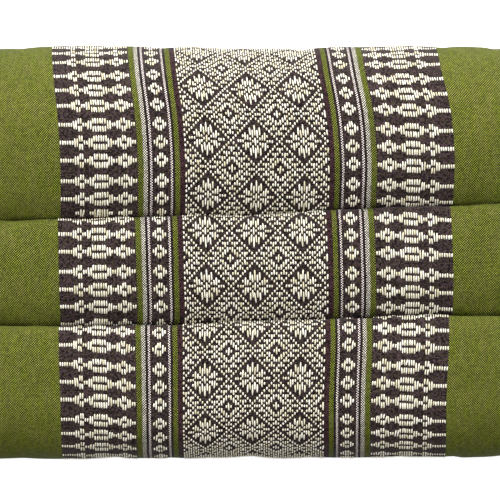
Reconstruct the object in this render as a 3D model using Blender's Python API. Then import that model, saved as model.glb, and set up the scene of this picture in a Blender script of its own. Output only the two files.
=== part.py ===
"""Block neck pillow, lying on its back with its patterned face up.

A cloth sleeve is sewn into three rows of rolls, two rolls deep, and filled firmly. A plain panel
closes each end. X runs along the rolls, Y across the three rows and Z up through the two layers.
The origin is on the resting surface, under the middle of the pillow.
"""

import math
from typing import NamedTuple

import bmesh
import bpy

# Driving dimensions, in millimetres.
LENGTH = 350.0
THICKNESS = 100.0
MIDDLE_Z = THICKNESS / 2

# The sleeve's rolls. A crown is the highest line of a roll, a side its outermost line.
UPPER_CROWN_AT = 0.40  # from the upper channel towards the upper edge, as a share of that row
MIDDLE_CROWN_DROP = 1.2  # how much lower the middle row stands
LOWER_CROWN_AT = 0.50  # from the lower channel towards the lower edge, as a share of that row
UPPER_SIDE_Z = 69.0
LOWER_SIDE_Z = 76.0
CHANNEL_DEPTH = 10.5  # of the two channels along each broad face
SIDE_CHANNEL_DEPTH = 9.5  # of the channel along each long narrow side
BACK_FLATTENING = 1.2  # how far the rolls beneath are pressed flat by lying down
BACK_EVENNESS = 0.6  # how far the back's channels come nearer to straight lines

# Roundness of the outline's quarter arcs: 2 is an ellipse, less is leaner and more is squarer.
CORNER_ROUNDNESS = 2.1
CHANNEL_ROUNDNESS = 2.1
CHANNEL_ROUNDNESS_AT_SEAM = 1.3

# The ends. Towards its seam the sleeve is drawn in over the shoulder's length.
SHOULDER = 32.0
CROWN_DRAWN_IN = 6.5
SIDE_DRAWN_IN = 5.0
PANEL_THICKNESS = 1.6
PANEL_CROWN = 7.0  # how far an end panel bulges past its seam
PANEL_SQUARENESS = 6.0  # higher holds the bulge level nearer to the seam
PANEL_LOBES = 0.12  # how much the rolls' ends show through the panel, as a share of its bulge
CLEARANCE = 0.4  # between the filled sleeve and an end panel
SEAM_X = LENGTH / 2 - PANEL_CROWN - PANEL_THICKNESS - CLEARANCE

# Mesh density.
STEPS_PER_ARC = 5
RINGS_ALONG = 31
PANEL_RINGS = (1.0, 0.88, 0.74, 0.58, 0.40, 0.20)  # outline sizes from the seam to the middle

GREEN_CLOTH = (0.19, 0.21, 0.045, 1.0)
PANEL_CLOTH = (0.17, 0.19, 0.040, 1.0)
CLOTH_ROUGHNESS = 0.9


class Lines(NamedTuple):
    """Where the face's edges and sewn channels lie at one place along the length, in mm."""

    x: float
    upper_edge: float
    upper_channel: float
    lower_channel: float
    lower_edge: float


# The rows are uneven: the channels climb a little towards +X and the edges are not quite straight.
FACE_LINES = (
    Lines(x=-175, upper_edge=74.2, upper_channel=12.4, lower_channel=-27.0, lower_edge=-74.6),
    Lines(x=-115, upper_edge=74.1, upper_channel=11.2, lower_channel=-27.6, lower_edge=-75.0),
    Lines(x=-70, upper_edge=75.0, upper_channel=11.8, lower_channel=-27.1, lower_edge=-75.0),
    Lines(x=-30, upper_edge=74.4, upper_channel=12.9, lower_channel=-26.9, lower_edge=-74.7),
    Lines(x=0, upper_edge=74.2, upper_channel=13.4, lower_channel=-25.7, lower_edge=-74.6),
    Lines(x=27, upper_edge=74.6, upper_channel=15.0, lower_channel=-24.8, lower_edge=-74.6),
    Lines(x=60, upper_edge=75.0, upper_channel=16.5, lower_channel=-23.4, lower_edge=-74.4),
    Lines(x=95, upper_edge=74.7, upper_channel=17.5, lower_channel=-23.5, lower_edge=-74.3),
    Lines(x=175, upper_edge=74.4, upper_channel=15.4, lower_channel=-24.6, lower_edge=-74.5),
)


def clear_scene():
    """Remove every object, so that the script runs the same in any file."""
    for thing in list(bpy.data.objects):
        bpy.data.objects.remove(thing, do_unlink=True)


def cloth(name, colour):
    """A rough cloth material of one colour."""
    material = bpy.data.materials.new(name)
    material.use_nodes = True
    shader = material.node_tree.nodes["Principled BSDF"]
    shader.inputs["Base Color"].default_value = colour
    shader.inputs["Roughness"].default_value = CLOTH_ROUGHNESS
    shader.inputs["Metallic"].default_value = 0.0
    return material


def lines_at(x):
    """The face's lines at x, as a smooth curve through the rows of FACE_LINES."""
    last = len(FACE_LINES) - 1
    i = 0
    while i < last - 1 and FACE_LINES[i + 1].x < x:
        i += 1
    before, start, end, after = (FACE_LINES[min(max(k, 0), last)] for k in (i - 1, i, i + 1, i + 2))
    span = end.x - start.x
    t = (x - start.x) / span
    values = [x]
    for a, b, c, d in zip(before[1:], start[1:], end[1:], after[1:]):
        slope_b = (c - a) / (end.x - before.x) * span
        slope_c = (d - b) / (after.x - start.x) * span
        values.append(
            b * (2 * t**3 - 3 * t**2 + 1)
            + slope_b * (t**3 - 2 * t**2 + t)
            + c * (3 * t**2 - 2 * t**3)
            + slope_c * (t**3 - t**2)
        )
    return Lines(*values)


def fullness(x):
    """How full the rolls stand at x: 0 on the end seam, rising to 1 past the rounded shoulder."""
    from_seam = min(max(SEAM_X - abs(x), 0.0) / SHOULDER, 1.0)
    return math.sqrt(1.0 - (1.0 - from_seam) ** 2)


def between(a, b, share):
    """The value at a share of the way from a to b."""
    return a + (b - a) * share


def face_points(x, evenness, middle_drop):
    """The turning points of one broad face, as (y, height above the middle), from +Y to -Y.

    They alternate: a side, then crown and channel by turns, then the other side.
    """
    here, plain = lines_at(x), lines_at(0.0)
    upper_channel = between(here.upper_channel, plain.upper_channel, evenness)
    lower_channel = between(here.lower_channel, plain.lower_channel, evenness)
    empty = 1.0 - fullness(x)
    crown = MIDDLE_Z - CROWN_DRAWN_IN * empty
    channel = MIDDLE_Z - CHANNEL_DEPTH
    side_in = SIDE_DRAWN_IN * empty
    return [
        (here.upper_edge - side_in, UPPER_SIDE_Z - MIDDLE_Z),
        (between(upper_channel, here.upper_edge, UPPER_CROWN_AT), crown),
        (upper_channel, channel),
        (between(upper_channel, lower_channel, 0.5), crown - middle_drop),
        (lower_channel, channel),
        (between(lower_channel, here.lower_edge, LOWER_CROWN_AT), crown),
        (here.lower_edge + side_in, LOWER_SIDE_Z - MIDDLE_Z),
    ]


def turning_points(x):
    """The sixteen points where the sleeve's outline turns, anticlockwise seen from +X.

    It runs level at the points with an even place in the list, which are the crowns and the side
    channels, and upright at the others, which are the sides and the face channels.
    """
    here = lines_at(x)
    front = [(y, MIDDLE_Z + up) for y, up in face_points(x, 0.0, MIDDLE_CROWN_DROP)]
    back = [(y, MIDDLE_Z - up) for y, up in reversed(face_points(x, BACK_EVENNESS, 0.0))]
    pressed = BACK_FLATTENING * fullness(x)
    back = [(y, z - pressed if place % 2 else z) for place, (y, z) in enumerate(back)]
    upper_side_channel = (here.upper_edge - SIDE_CHANNEL_DEPTH, MIDDLE_Z)
    lower_side_channel = (here.lower_edge + SIDE_CHANNEL_DEPTH, MIDDLE_Z)
    return [upper_side_channel] + front + [lower_side_channel] + back


def is_channel(place):
    """Whether the turning point at this place in the list is a sewn channel."""
    return place in (0, 3, 5, 8, 11, 13)


def arc_points(start, end, starts_level, roundness):
    """Points along a quarter arc from start up to, and without, its end."""
    points = []
    power = 2.0 / roundness
    for step in range(STEPS_PER_ARC):
        angle = math.radians(90.0) * step / STEPS_PER_ARC
        fast, slow = math.sin(angle) ** power, 1.0 - math.cos(angle) ** power
        share_y, share_z = (fast, slow) if starts_level else (slow, fast)
        points.append((between(start[0], end[0], share_y), between(start[1], end[1], share_z)))
    return points


def section(x):
    """The sleeve's closed outline at x, as (y, z) points, flat where it rests at z = 0."""
    turns = turning_points(x)
    by_channel = between(CHANNEL_ROUNDNESS_AT_SEAM, CHANNEL_ROUNDNESS, fullness(x))
    outline = []
    for place, start in enumerate(turns):
        following = (place + 1) % len(turns)
        beside_channel = is_channel(place) or is_channel(following)
        roundness = by_channel if beside_channel else CORNER_ROUNDNESS
        outline += arc_points(start, turns[following], place % 2 == 0, roundness)
    return [(y, max(z, 0.0)) for y, z in outline]


def panel_bulge(y, z, size):
    """How far the end bulges past its seam at (y, z), on the ring of this size."""
    seam = lines_at(SEAM_X)
    row = (seam.upper_edge - seam.lower_edge) / 3
    lobes = math.cos(2 * math.pi * y / row) * -math.cos(2 * math.pi * z / MIDDLE_Z)
    return PANEL_CROWN * (1.0 - size**PANEL_SQUARENESS) * (1.0 - PANEL_LOBES + PANEL_LOBES * lobes)


def end_rings(side, offset):
    """Rings of (x, y, z) over one end, from its seam to its middle. side is -1 or 1."""
    outline = section(side * SEAM_X)
    centre_y = sum(y for y, _ in outline) / len(outline)
    rings = []
    for size in PANEL_RINGS:
        ring = []
        for y, z in outline:
            y, z = between(centre_y, y, size), between(MIDDLE_Z, z, size)
            ring.append((side * (SEAM_X + offset + panel_bulge(y, z, size)), y, z))
        rings.append(ring)
    return rings


def add_ring(mesh, ring):
    """Put one ring of points, given in mm, into the mesh."""
    return [mesh.verts.new([value * 0.001 for value in point]) for point in ring]


def bridge(mesh, one, other):
    """Join two rings of equal length by a strip of faces."""
    for k in range(len(one)):
        following = (k + 1) % len(one)
        mesh.faces.new((one[k], one[following], other[following], other[k]))


def closed_tube(name, rings, material):
    """A solid through the rings in turn, with a flat cap inside the first and the last."""
    mesh = bmesh.new()
    loops = [add_ring(mesh, ring) for ring in rings]
    for one, other in zip(loops, loops[1:]):
        bridge(mesh, one, other)
    mesh.faces.new(loops[0])
    mesh.faces.new(loops[-1])
    bmesh.ops.recalc_face_normals(mesh, faces=mesh.faces)
    data = bpy.data.meshes.new(name)
    mesh.to_mesh(data)
    mesh.free()
    data.materials.append(material)
    data.shade_smooth()
    data.set_sharp_from_angle(angle=math.radians(50))
    solid = bpy.data.objects.new(name, data)
    bpy.context.scene.collection.objects.link(solid)
    return solid


def sleeve_rings():
    """The sleeve's sections from one end seam to the other, closer together at the shoulders."""
    rings = []
    for k in range(1, RINGS_ALONG - 1):
        t = 2.0 * k / (RINGS_ALONG - 1) - 1.0
        x = SEAM_X * math.sin(1.35 * t) / math.sin(1.35)
        rings.append([(x, y, z) for y, z in section(x)])
    return rings


def build_body(material):
    """The filled sleeve with its six rolls, domed at both ends."""
    left, right = end_rings(-1, 0.0), end_rings(1, 0.0)
    return closed_tube("pillow_body", left[::-1] + sleeve_rings() + right, material)


def build_end_panel(name, side, material):
    """The plain cloth panel over one end, a thin sheet that follows the filled end."""
    inner = end_rings(side, CLEARANCE)
    outer = end_rings(side, CLEARANCE + PANEL_THICKNESS)
    return closed_tube(name, inner[::-1] + outer, material)


def main():
    clear_scene()
    green = cloth("sleeve cloth", GREEN_CLOTH)
    plain = cloth("end panel cloth", PANEL_CLOTH)
    build_body(green)
    build_end_panel("end_panel_left", -1, plain)
    build_end_panel("end_panel_right", 1, plain)


main()
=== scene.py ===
"""Block neck pillow with a woven band round its middle, lying on its back on a pale floor.

The camera looks straight down on the patterned face. The sleeve is cut flat, wrapped round the six
rolls, sewn down along its channels and blown up by a cloth simulation. The pale pattern is made of
real threads that float over the dark ground cloth, laid out from small woven charts.

Lengths are in millimetres until a mesh is written. On the cloth, u runs along the pillow from its
middle and v runs round it, downwards over the face, both measured along the cloth.
"""

from __future__ import annotations

import logging
import math
from contextlib import contextmanager
from dataclasses import dataclass, field
from enum import Enum
from typing import Any, Iterator, Sequence

import bpy
import numpy as np
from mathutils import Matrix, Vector

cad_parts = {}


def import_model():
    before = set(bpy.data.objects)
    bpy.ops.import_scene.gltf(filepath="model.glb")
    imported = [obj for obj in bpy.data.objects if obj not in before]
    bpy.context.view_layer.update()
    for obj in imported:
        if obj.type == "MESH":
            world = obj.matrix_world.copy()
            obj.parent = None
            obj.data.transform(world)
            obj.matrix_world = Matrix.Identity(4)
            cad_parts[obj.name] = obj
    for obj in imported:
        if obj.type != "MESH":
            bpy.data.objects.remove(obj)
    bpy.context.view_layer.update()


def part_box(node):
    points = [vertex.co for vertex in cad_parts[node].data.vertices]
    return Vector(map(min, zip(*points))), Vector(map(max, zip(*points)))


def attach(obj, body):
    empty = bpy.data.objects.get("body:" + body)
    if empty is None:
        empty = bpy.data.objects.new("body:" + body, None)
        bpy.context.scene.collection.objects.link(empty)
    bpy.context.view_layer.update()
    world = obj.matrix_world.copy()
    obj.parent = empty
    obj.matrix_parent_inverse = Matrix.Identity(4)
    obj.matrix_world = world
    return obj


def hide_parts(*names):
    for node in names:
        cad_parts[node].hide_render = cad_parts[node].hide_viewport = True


LOG = logging.getLogger("neck pillow")

Pair = tuple[float, float]
Colour = tuple[float, float, float]

MM = 0.001
NEAR = 0.01  # two places closer than this are one
SLIGHT = 1e-5  # stands for nothing where a number mustn't be 0 or isn't exact
LATEST_START = 7  # radians into a wave
BODY = "root"
CLOTH_MAP = "cloth"
THREAD_MAP = "thread"
TONE = "tone"


# The pillow's form


@dataclass(frozen=True)
class FaceLines:
    """Where the face's edges and sewn channels lie at one place along the length."""

    x: float
    upper_edge: float
    upper_channel: float
    lower_channel: float
    lower_edge: float


FACE_LINES = (
    FaceLines(-175, 74.2, 12.1, -26.4, -74.6),
    FaceLines(-115, 72.9, 10.9, -26.9, -75.0),
    FaceLines(-70, 75.0, 11.5, -26.4, -75.0),
    FaceLines(-30, 74.9, 12.6, -26.2, -74.7),
    FaceLines(0, 74.2, 13.1, -25.0, -74.6),
    FaceLines(27, 74.6, 14.7, -24.1, -74.6),
    FaceLines(60, 75.0, 16.2, -22.8, -74.4),
    FaceLines(95, 74.7, 17.2, -22.9, -74.3),
    FaceLines(175, 74.4, 15.1, -24.0, -74.5),
)


@dataclass(frozen=True)
class Drift:
    """How far the cloth's lengthwise lines have strayed where they cross one line of the mesh."""

    line: float
    sideways: float
    narrowing: float


DRIFTS = (
    Drift(0, -3.9, 0.002),
    Drift(6, -4.3, 0.003),
    Drift(10, -4.3, 0.005),
    Drift(13, -4.2, 0.006),
    Drift(16, -3.1, 0.009),
    Drift(20, -0.37, 0.003),
    Drift(24, 0.6, 0.000),
    Drift(27, 0.5, 0.001),
    Drift(31, 0.3, -0.001),
    Drift(33, 0.1, -0.001),
    Drift(35, -0.9, -0.001),
    Drift(37, -0.8, 0.000),
    Drift(39, -0.5, 0.000),
    Drift(43, 0.0, -0.001),
    Drift(46, 0.3, 0.000),
    Drift(49, 0.2, 0.000),
    Drift(51, 0.0, 0.001),
    Drift(53, -0.6, 0.003),
    Drift(55, -0.75, 0.006),
    Drift(60, -0.68, 0.010),
    Drift(65, -0.85, 0.023),
    Drift(70, -0.6, 0.017),
    Drift(74, -0.05, 0.002),
    Drift(78, 0.0, 0.000),
    Drift(112, -0.2, 0.000),
    Drift(130, -1.4, 0.001),
    Drift(150, -3.3, 0.002),
    Drift(164, -3.9, 0.002),
)


@dataclass(frozen=True)
class Creep:
    """How many weft rows the cloth has crept upwards over the face, at one place along it."""

    u: float
    upper_edge: float
    upper_roll: float
    over_upper: float  # just over the upper channel
    under_upper: float
    middle_roll: float
    over_lower: float
    under_lower: float
    lower_roll: float
    lower_edge: float

    def values(self) -> list[float]:
        """List the rows in order down the face, held still on both side channels.

        Returns:
            One value for each of the layout's creep_lines.
        """
        upper = [0.0, self.upper_edge, self.upper_roll, self.over_upper, self.under_upper]
        lower = [self.over_lower, self.under_lower, self.lower_roll, self.lower_edge, 0.0]
        return upper + [self.middle_roll] + lower


CREEPS = (
    Creep(-65, 2.45, 4.1, 3.55, -0.45, 0.6, 1.7, -4.1, -3.15, 4.7),
    Creep(-52, 2.45, 4.25, 3.4, -0.6, 0.9, 1.8, -4.7, -3.6, 3),
    Creep(-38, 4.1, 4.55, 3.95, -0.55, 1.25, 2.45, -5.3, -4.8, 1.1),
    Creep(-22, 3, 4.3, 4.15, -0.6, 0.8, 1.95, -4.55, -3.85, 4.1),
    Creep(0, 1.4, 3.2, 3.1, -0.6, 0.6, 1.6, -4.05, -3.25, 6.2),
    Creep(21, 1.85, 2.85, 2.4, -0.85, 0.5, 2, -4.1, -3.35, 6.05),
    Creep(36, 1.65, 2.4, 2.25, -1.25, 0.15, 1.8, -3.65, -3.4, 6.25),
    Creep(50, 0.9, 1.75, 1.6, -1.55, -0.3, 1.1, -4.25, -3.8, 5.25),
    Creep(63, 1.75, 1.1, 0.8, -2.45, -1, 0.3, -5.1, -4.65, 3.9),
)


def between(start: float | np.ndarray, end: float | np.ndarray, share: float | np.ndarray) -> Any:
    """What lies a share of the way from one value, or array of values, to another."""
    return start + (end - start) * share


def uneven_waves(draw: np.random.Generator, counts: Sequence[int], turn: np.ndarray) -> np.ndarray:
    """Waves of several lengths, each from a start of its own, added up round a turn."""
    return sum(np.sin(count * turn + draw.uniform(0, LATEST_START)) for count in counts)


def smooth_curve(at: np.ndarray, xs: Sequence[float], ys: Sequence[float]) -> np.ndarray:
    """A smooth curve through given points, level beyond its ends.

    Args:
        at: Where to read the curve.
        xs: The points' places, rising.
        ys: The points' values.

    Returns:
        The curve's values.
    """
    xs, ys = np.asarray(xs, float), np.asarray(ys, float)
    slopes = np.gradient(ys, xs)
    at = np.clip(at, xs[0], xs[-1])
    i = np.clip(np.searchsorted(xs, at) - 1, 0, len(xs) - 2)
    span = xs[i + 1] - xs[i]
    t = (at - xs[i]) / span
    ends = ys[i] * (1 + 2 * t) * (1 - t) ** 2 + ys[i + 1] * t * t * (3 - 2 * t)
    return ends + span * t * (1 - t) * (slopes[i] * (1 - t) - slopes[i + 1] * t)


CORNERS = (1, 6, 9, 14)  # the arcs of the outline at the pillow's four long edges
LOWER_CORNER = 6  # the one of them at the face's lower edge
LIPS = (3, 5)  # the arcs that rise from a channel of the face and lean back over it
LEAN_SCALE = 6.75  # brings the highest value of share**2 * (1 - share) to 1


@dataclass
class PillowForm:
    """The filled sleeve's outline, as six rolls between six sewn channels."""

    seam_x: float
    thickness: float
    upper_crown_at: float = 0.40
    lower_crown_at: float = 0.50
    middle_crown_drop: float = 1.2
    upper_side_z: float = 69.0
    lower_side_z: float = 76.0
    channel_depth: float = 10.5
    side_channel_depth: float = 9.5
    back_flattening: float = 1.2
    back_evenness: float = 0.6
    corner_roundness: float = 2.1
    lower_corner_roundness: float = 2.8
    channel_roundness: float = 2.1
    lip_roundness: float = 3.4  # of the face's flanks that look up towards a channel
    lip_overhang: float = 2.0
    lip_reach: float = 1.1  # how far the overhanging lip moves the line that shows
    channel_roundness_at_seam: float = 1.3
    shoulder: float = 32.0
    crown_drawn_in: float = 6.5
    side_drawn_in: float = 5.0
    samples_per_arc: int = 40
    roll_arcs: tuple[tuple[int, ...], ...] = (
        (0, 1, 2),
        (3, 4),
        (5, 6, 7),
        (8, 9, 10),
        (11, 12),
        (13, 14, 15),
    )

    def line(self, name: str, x: float) -> float:
        """One of the face's lines, by its name in FaceLines, at x."""
        xs = [lines.x for lines in FACE_LINES]
        return float(smooth_curve(np.array(x), xs, [getattr(lines, name) for lines in FACE_LINES]))

    def fullness(self, x: float) -> float:
        """0 on the end seam, rising to 1 past the rounded shoulder."""
        from_seam = min(max(self.seam_x - abs(x), 0.0) / self.shoulder, 1.0)
        return math.sqrt(1.0 - (1.0 - from_seam) ** 2)

    def face_points(self, x: float, evenness: float, middle_drop: float) -> list[Pair]:
        """The turning points of one broad face, from +Y to -Y.

        Args:
            x: Place along the pillow.
            evenness: How far its channels come nearer to straight lines, from 0 to 1.
            middle_drop: How much lower the middle roll stands.

        Returns:
            Side, crown, channel, crown, channel, crown and side, as (y, height above the middle).
        """
        empty = 1.0 - self.fullness(x)
        upper_edge, lower_edge = self.line("upper_edge", x), self.line("lower_edge", x)
        upper, lower = (
            between(self.line(name, x), self.line(name, 0.0), evenness) - self.lip_reach * (1.0 - empty)
            for name in ("upper_channel", "lower_channel")
        )
        half = self.thickness / 2
        crown = half - self.crown_drawn_in * empty
        channel = half - self.channel_depth
        side_in = self.side_drawn_in * empty
        return [
            (upper_edge - side_in, self.upper_side_z - half),
            (between(upper, upper_edge, self.upper_crown_at), crown),
            (upper, channel),
            ((upper + lower) / 2, crown - middle_drop),
            (lower, channel),
            (between(lower, lower_edge, self.lower_crown_at), crown),
            (lower_edge + side_in, self.lower_side_z - half),
        ]

    def turning_points(self, x: float) -> list[Pair]:
        """The sixteen points where the outline turns.

        Args:
            x: Place along the pillow.

        Returns:
            Points (y, z), from the upper side channel down the face and up the back.
        """
        half = self.thickness / 2
        front = [(y, half + up) for y, up in self.face_points(x, 0.0, self.middle_crown_drop)]
        back = self.face_points(x, self.back_evenness, 0.0)[::-1]
        pressed = self.back_flattening * self.fullness(x)
        back = [(y, half - up - (pressed if k % 2 else 0.0)) for k, (y, up) in enumerate(back)]
        upper_side = (self.line("upper_edge", x) - self.side_channel_depth, half)
        lower_side = (self.line("lower_edge", x) + self.side_channel_depth, half)
        return [upper_side] + front + [lower_side] + back

    def arc(self, turns: list[Pair], place: int, roundness: float, full: float) -> np.ndarray:
        """One quarter arc of the outline, from a turning point to the next.

        Args:
            turns: The turning points.
            place: Which of them the arc starts from. It starts level from an even one.
            roundness: The power of its curve. An ellipse's is 2.
            full: How full the pillow is here, from 0 to 1.

        Returns:
            Points (y, z) along the arc, both ends included.
        """
        start = np.array(turns[place])
        end = np.array(turns[(place + 1) % len(turns)])
        power = 2.0 / roundness
        angle = np.linspace(0.0, math.pi / 2, self.samples_per_arc + 1)
        fast, slow = np.sin(angle) ** power, 1.0 - np.cos(angle) ** power
        shares = np.stack([fast, slow] if place % 2 == 0 else [slow, fast], axis=1)
        points = between(start, end, shares)
        if place in LIPS:
            points[:, 0] += full * self.lip_overhang * LEAN_SCALE * fast**2 * (1.0 - fast)
        return points

    def rolls_at(self, x: float) -> list[np.ndarray]:
        """The outline at one place along the pillow, roll by roll.

        Args:
            x: The place.

        Returns:
            Six polylines of (y, z), from the upper side channel down the face and up the back.
        """
        turns = self.turning_points(x)
        lean, full = self.channel_roundness_at_seam, self.fullness(x)
        by_channel = between(lean, self.channel_roundness, full)
        roundness = {place: self.corner_roundness for place in CORNERS}
        roundness[LOWER_CORNER] = between(self.corner_roundness, self.lower_corner_roundness, full)
        roundness |= {place: between(lean, self.lip_roundness, full) for place in LIPS}
        rolls = []
        for places in self.roll_arcs:
            arcs = [self.arc(turns, place, roundness.get(place, by_channel), full) for place in places]
            points = np.concatenate([arcs[0]] + [arc[1:] for arc in arcs[1:]])
            points[:, 1] = np.maximum(points[:, 1], 0.0)
            rolls.append(points)
        return rolls


def at_shares(points: np.ndarray, shares: np.ndarray) -> np.ndarray:
    """Points at given shares of a polyline's length.

    Args:
        points: The polyline.
        shares: The shares, from 0 to 1.

    Returns:
        The points.
    """
    steps = np.linalg.norm(np.diff(points, axis=0), axis=1)
    length = np.concatenate([[0.0], np.cumsum(steps)])
    return np.stack([np.interp(shares * length[-1], length, column) for column in points.T], axis=1)


def length_of(points: np.ndarray) -> float:
    """A polyline's length."""
    return float(np.linalg.norm(np.diff(points, axis=0), axis=1).sum())


# The cloth on the form


@dataclass
class ClothLayout:
    """Where every point of the cut cloth lies: its weft rows, and the two steps of its meshes.

    A place on the cloth is also (column, line), both counted in cells of the coarse mesh. Lines
    stand closer together beside the channels, and columns closer together towards the ends.
    """

    form: PillowForm
    row_pitch: float = 0.910
    upper_channel_row: float = -1.6
    lower_channel_row: float = 50.8
    rows_per_mm: float = -0.034  # how far the face's channels climb over the rows towards +X
    columns: int = 120
    roll_lines: tuple[int, ...] = (34, 18, 30, 30, 18, 34)
    end_crowding: float = 1.1
    channel_crowding: float = 0.62
    end_hold: int = 6  # the power by which the ends hold back the cloth's strays
    creep_lines: tuple[int, ...] = (0, 13, 20, 30, 38, 43, 48, 56, 65, 72, 82)  # that Creep's values lie on
    creep_rounds: int = 4  # of looking up the creep anew where the last round's line is
    share_steps: int = 400  # of the table that turns rows into lines
    channel_rows: list[float] = field(init=False)

    def __post_init__(self) -> None:
        """Work out the weft row of each channel from the rolls' lengths in the middle."""
        lengths = [length_of(roll) / self.row_pitch for roll in self.form.rolls_at(0.0)]
        first = self.upper_channel_row - lengths[0]
        rows = [first, self.upper_channel_row, self.lower_channel_row]
        for length in lengths[2:]:
            rows.append(rows[-1] + length)
        self.channel_rows = rows

    def lines(self) -> int:
        """How many cells the coarse mesh has round the pillow."""
        return sum(self.roll_lines)

    def rolls(self) -> list[tuple[int, int]]:
        """Each roll's first line, and how many cells of the coarse mesh it has."""
        return [(sum(self.roll_lines[:k]), count) for k, count in enumerate(self.roll_lines)]

    def u_of(self, column: np.ndarray) -> np.ndarray:
        """The cloth's u at a column of the coarse mesh."""
        t = 2.0 * column / self.columns - 1.0
        return self.form.seam_x * np.sin(self.end_crowding * t) / math.sin(self.end_crowding)

    def column_of(self, u: np.ndarray) -> np.ndarray:
        """The coarse mesh's column at u."""
        sine = np.clip(u / self.form.seam_x, -1.0, 1.0) * math.sin(self.end_crowding)
        return (np.arcsin(sine) / self.end_crowding + 1.0) / 2.0 * self.columns

    def crowded(self, share: np.ndarray) -> np.ndarray:
        """Even steps over a roll, from 0 to 1, drawn together towards both its channels."""
        return share - self.channel_crowding * np.sin(2 * math.pi * share) / (2 * math.pi)

    def channel_rows_at(self, u: np.ndarray) -> list[np.ndarray]:
        """The weft row of each of the seven channels, the last being the first again.

        Args:
            u: Places along the pillow, on the cloth.

        Returns:
            The rows at those places, channel by channel.
        """
        climb = self.rows_per_mm * u
        level = np.zeros_like(climb)
        return [row + (climb if k in (1, 2) else level) for k, row in enumerate(self.channel_rows)]

    def creep(self, u: np.ndarray, line: np.ndarray) -> np.ndarray:
        """How far the cloth has crept at places on the mesh.

        Args:
            u: Places along the pillow, on the cloth.
            line: The coarse mesh's lines there.

        Returns:
            The creep in weft rows.
        """
        table = np.array([creep.values() for creep in CREEPS]).T
        places = [creep.u for creep in CREEPS]
        curves = [smooth_curve(u, places, values) for values in table]
        total = np.zeros(np.broadcast(u, line).shape)
        for k, (start, end) in enumerate(zip(self.creep_lines, self.creep_lines[1:])):
            share = (line - start) / (end - start)
            inside = (share >= 0) & (share < 1)
            total = np.where(inside, between(curves[k], curves[k + 1], share), total)
        return total

    def row_at(self, column: np.ndarray, line: np.ndarray) -> np.ndarray:
        """The weft row at places on the mesh.

        Args:
            column: The coarse mesh's columns.
            line: The coarse mesh's lines there.

        Returns:
            The rows, with fractions.
        """
        u = self.u_of(column)
        channels = self.channel_rows_at(u)
        row = np.zeros(np.broadcast(column, line).shape)
        for k, (start, count) in enumerate(self.rolls()):
            share = self.crowded((line - start) / count)
            inside = (line >= start) & (line <= start + count)
            row = np.where(inside, between(channels[k], channels[k + 1], share), row)
        return row + self.creep(u, line)

    def line_without_creep(self, u: np.ndarray, row: np.ndarray) -> np.ndarray:
        """Where weft rows would cross the mesh's lines on cloth that has not crept.

        Args:
            u: Places along the pillow, on the cloth.
            row: The weft rows.

        Returns:
            The coarse mesh's lines, with fractions.
        """
        even = np.linspace(0.0, 1.0, self.share_steps)
        channels = self.channel_rows_at(u)
        line = np.zeros_like(row)
        for k, (start, count) in enumerate(self.rolls()):
            share = (row - channels[k]) / (channels[k + 1] - channels[k])
            inside = (share >= 0.0) & (share <= 1.0)
            line = np.where(inside, start + count * np.interp(share, self.crowded(even), even), line)
        return line

    def line_of(self, u: np.ndarray, row: np.ndarray) -> np.ndarray:
        """Where weft rows cross the mesh's lines.

        Args:
            u: Places along the pillow, on the cloth.
            row: The weft rows.

        Returns:
            The coarse mesh's lines, with fractions.
        """
        line = self.line_without_creep(u, row)
        for _ in range(self.creep_rounds):
            line = self.line_without_creep(u, row - self.creep(u, line))
        return line

    def wrapped(self) -> np.ndarray:
        """Wrap the coarse mesh round the form.

        Returns:
            The grid (column, line, xyz) in mm.
        """
        us = self.u_of(np.arange(self.columns + 1, dtype=float))
        points = np.zeros((self.columns + 1, self.lines() + 1, 3))
        for i, u in enumerate(us):
            for roll, (start, count) in zip(self.form.rolls_at(float(u)), self.rolls()):
                shares = self.crowded(np.arange(count + 1) / count)
                points[i, start : start + count + 1, 1:] = at_shares(roll, shares)
        held = 1.0 - (np.abs(us) / self.form.seam_x) ** self.end_hold
        line, places = np.arange(self.lines() + 1), [drift.line for drift in DRIFTS]
        sideways = smooth_curve(line, places, [drift.sideways for drift in DRIFTS])
        narrowing = smooth_curve(line, places, [drift.narrowing for drift in DRIFTS])
        points[:, :, 0] = us[:, None] + (sideways - narrowing * us[:, None]) * held[:, None]
        return points


def halfway(points: np.ndarray, axis: int) -> np.ndarray:
    """Put a smoothly curved point between every two neighbours.

    Args:
        points: An array of points.
        axis: The direction to refine.

    Returns:
        The array with its middle points, one less than twice as long in that direction.
    """
    p = np.moveaxis(points, axis, 0)
    middles = (p[:-1] + p[1:]) / 2
    middles[1:-1] = (9 * (p[1:-2] + p[2:-1]) - p[:-3] - p[3:]) / 16
    middles[0] = (3 * p[0] + 6 * p[1] - p[2]) / 8
    middles[-1] = (3 * p[-1] + 6 * p[-2] - p[-3]) / 8
    finer = np.empty((2 * len(p) - 1,) + p.shape[1:])
    finer[::2], finer[1::2] = p, middles
    return np.moveaxis(finer, 0, axis)


def outward_of(points: np.ndarray) -> np.ndarray:
    """Which way the cloth faces.

    Args:
        points: The grid (column, line, xyz) in mm.

    Returns:
        A unit vector for each point.
    """
    round_it = np.concatenate([points[:, -2:-1], points, points[:, 1:2]], axis=1)
    normal = np.cross(round_it[:, 2:] - round_it[:, :-2], np.gradient(points, axis=0))
    return normal / np.linalg.norm(normal, axis=2, keepdims=True)


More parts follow.
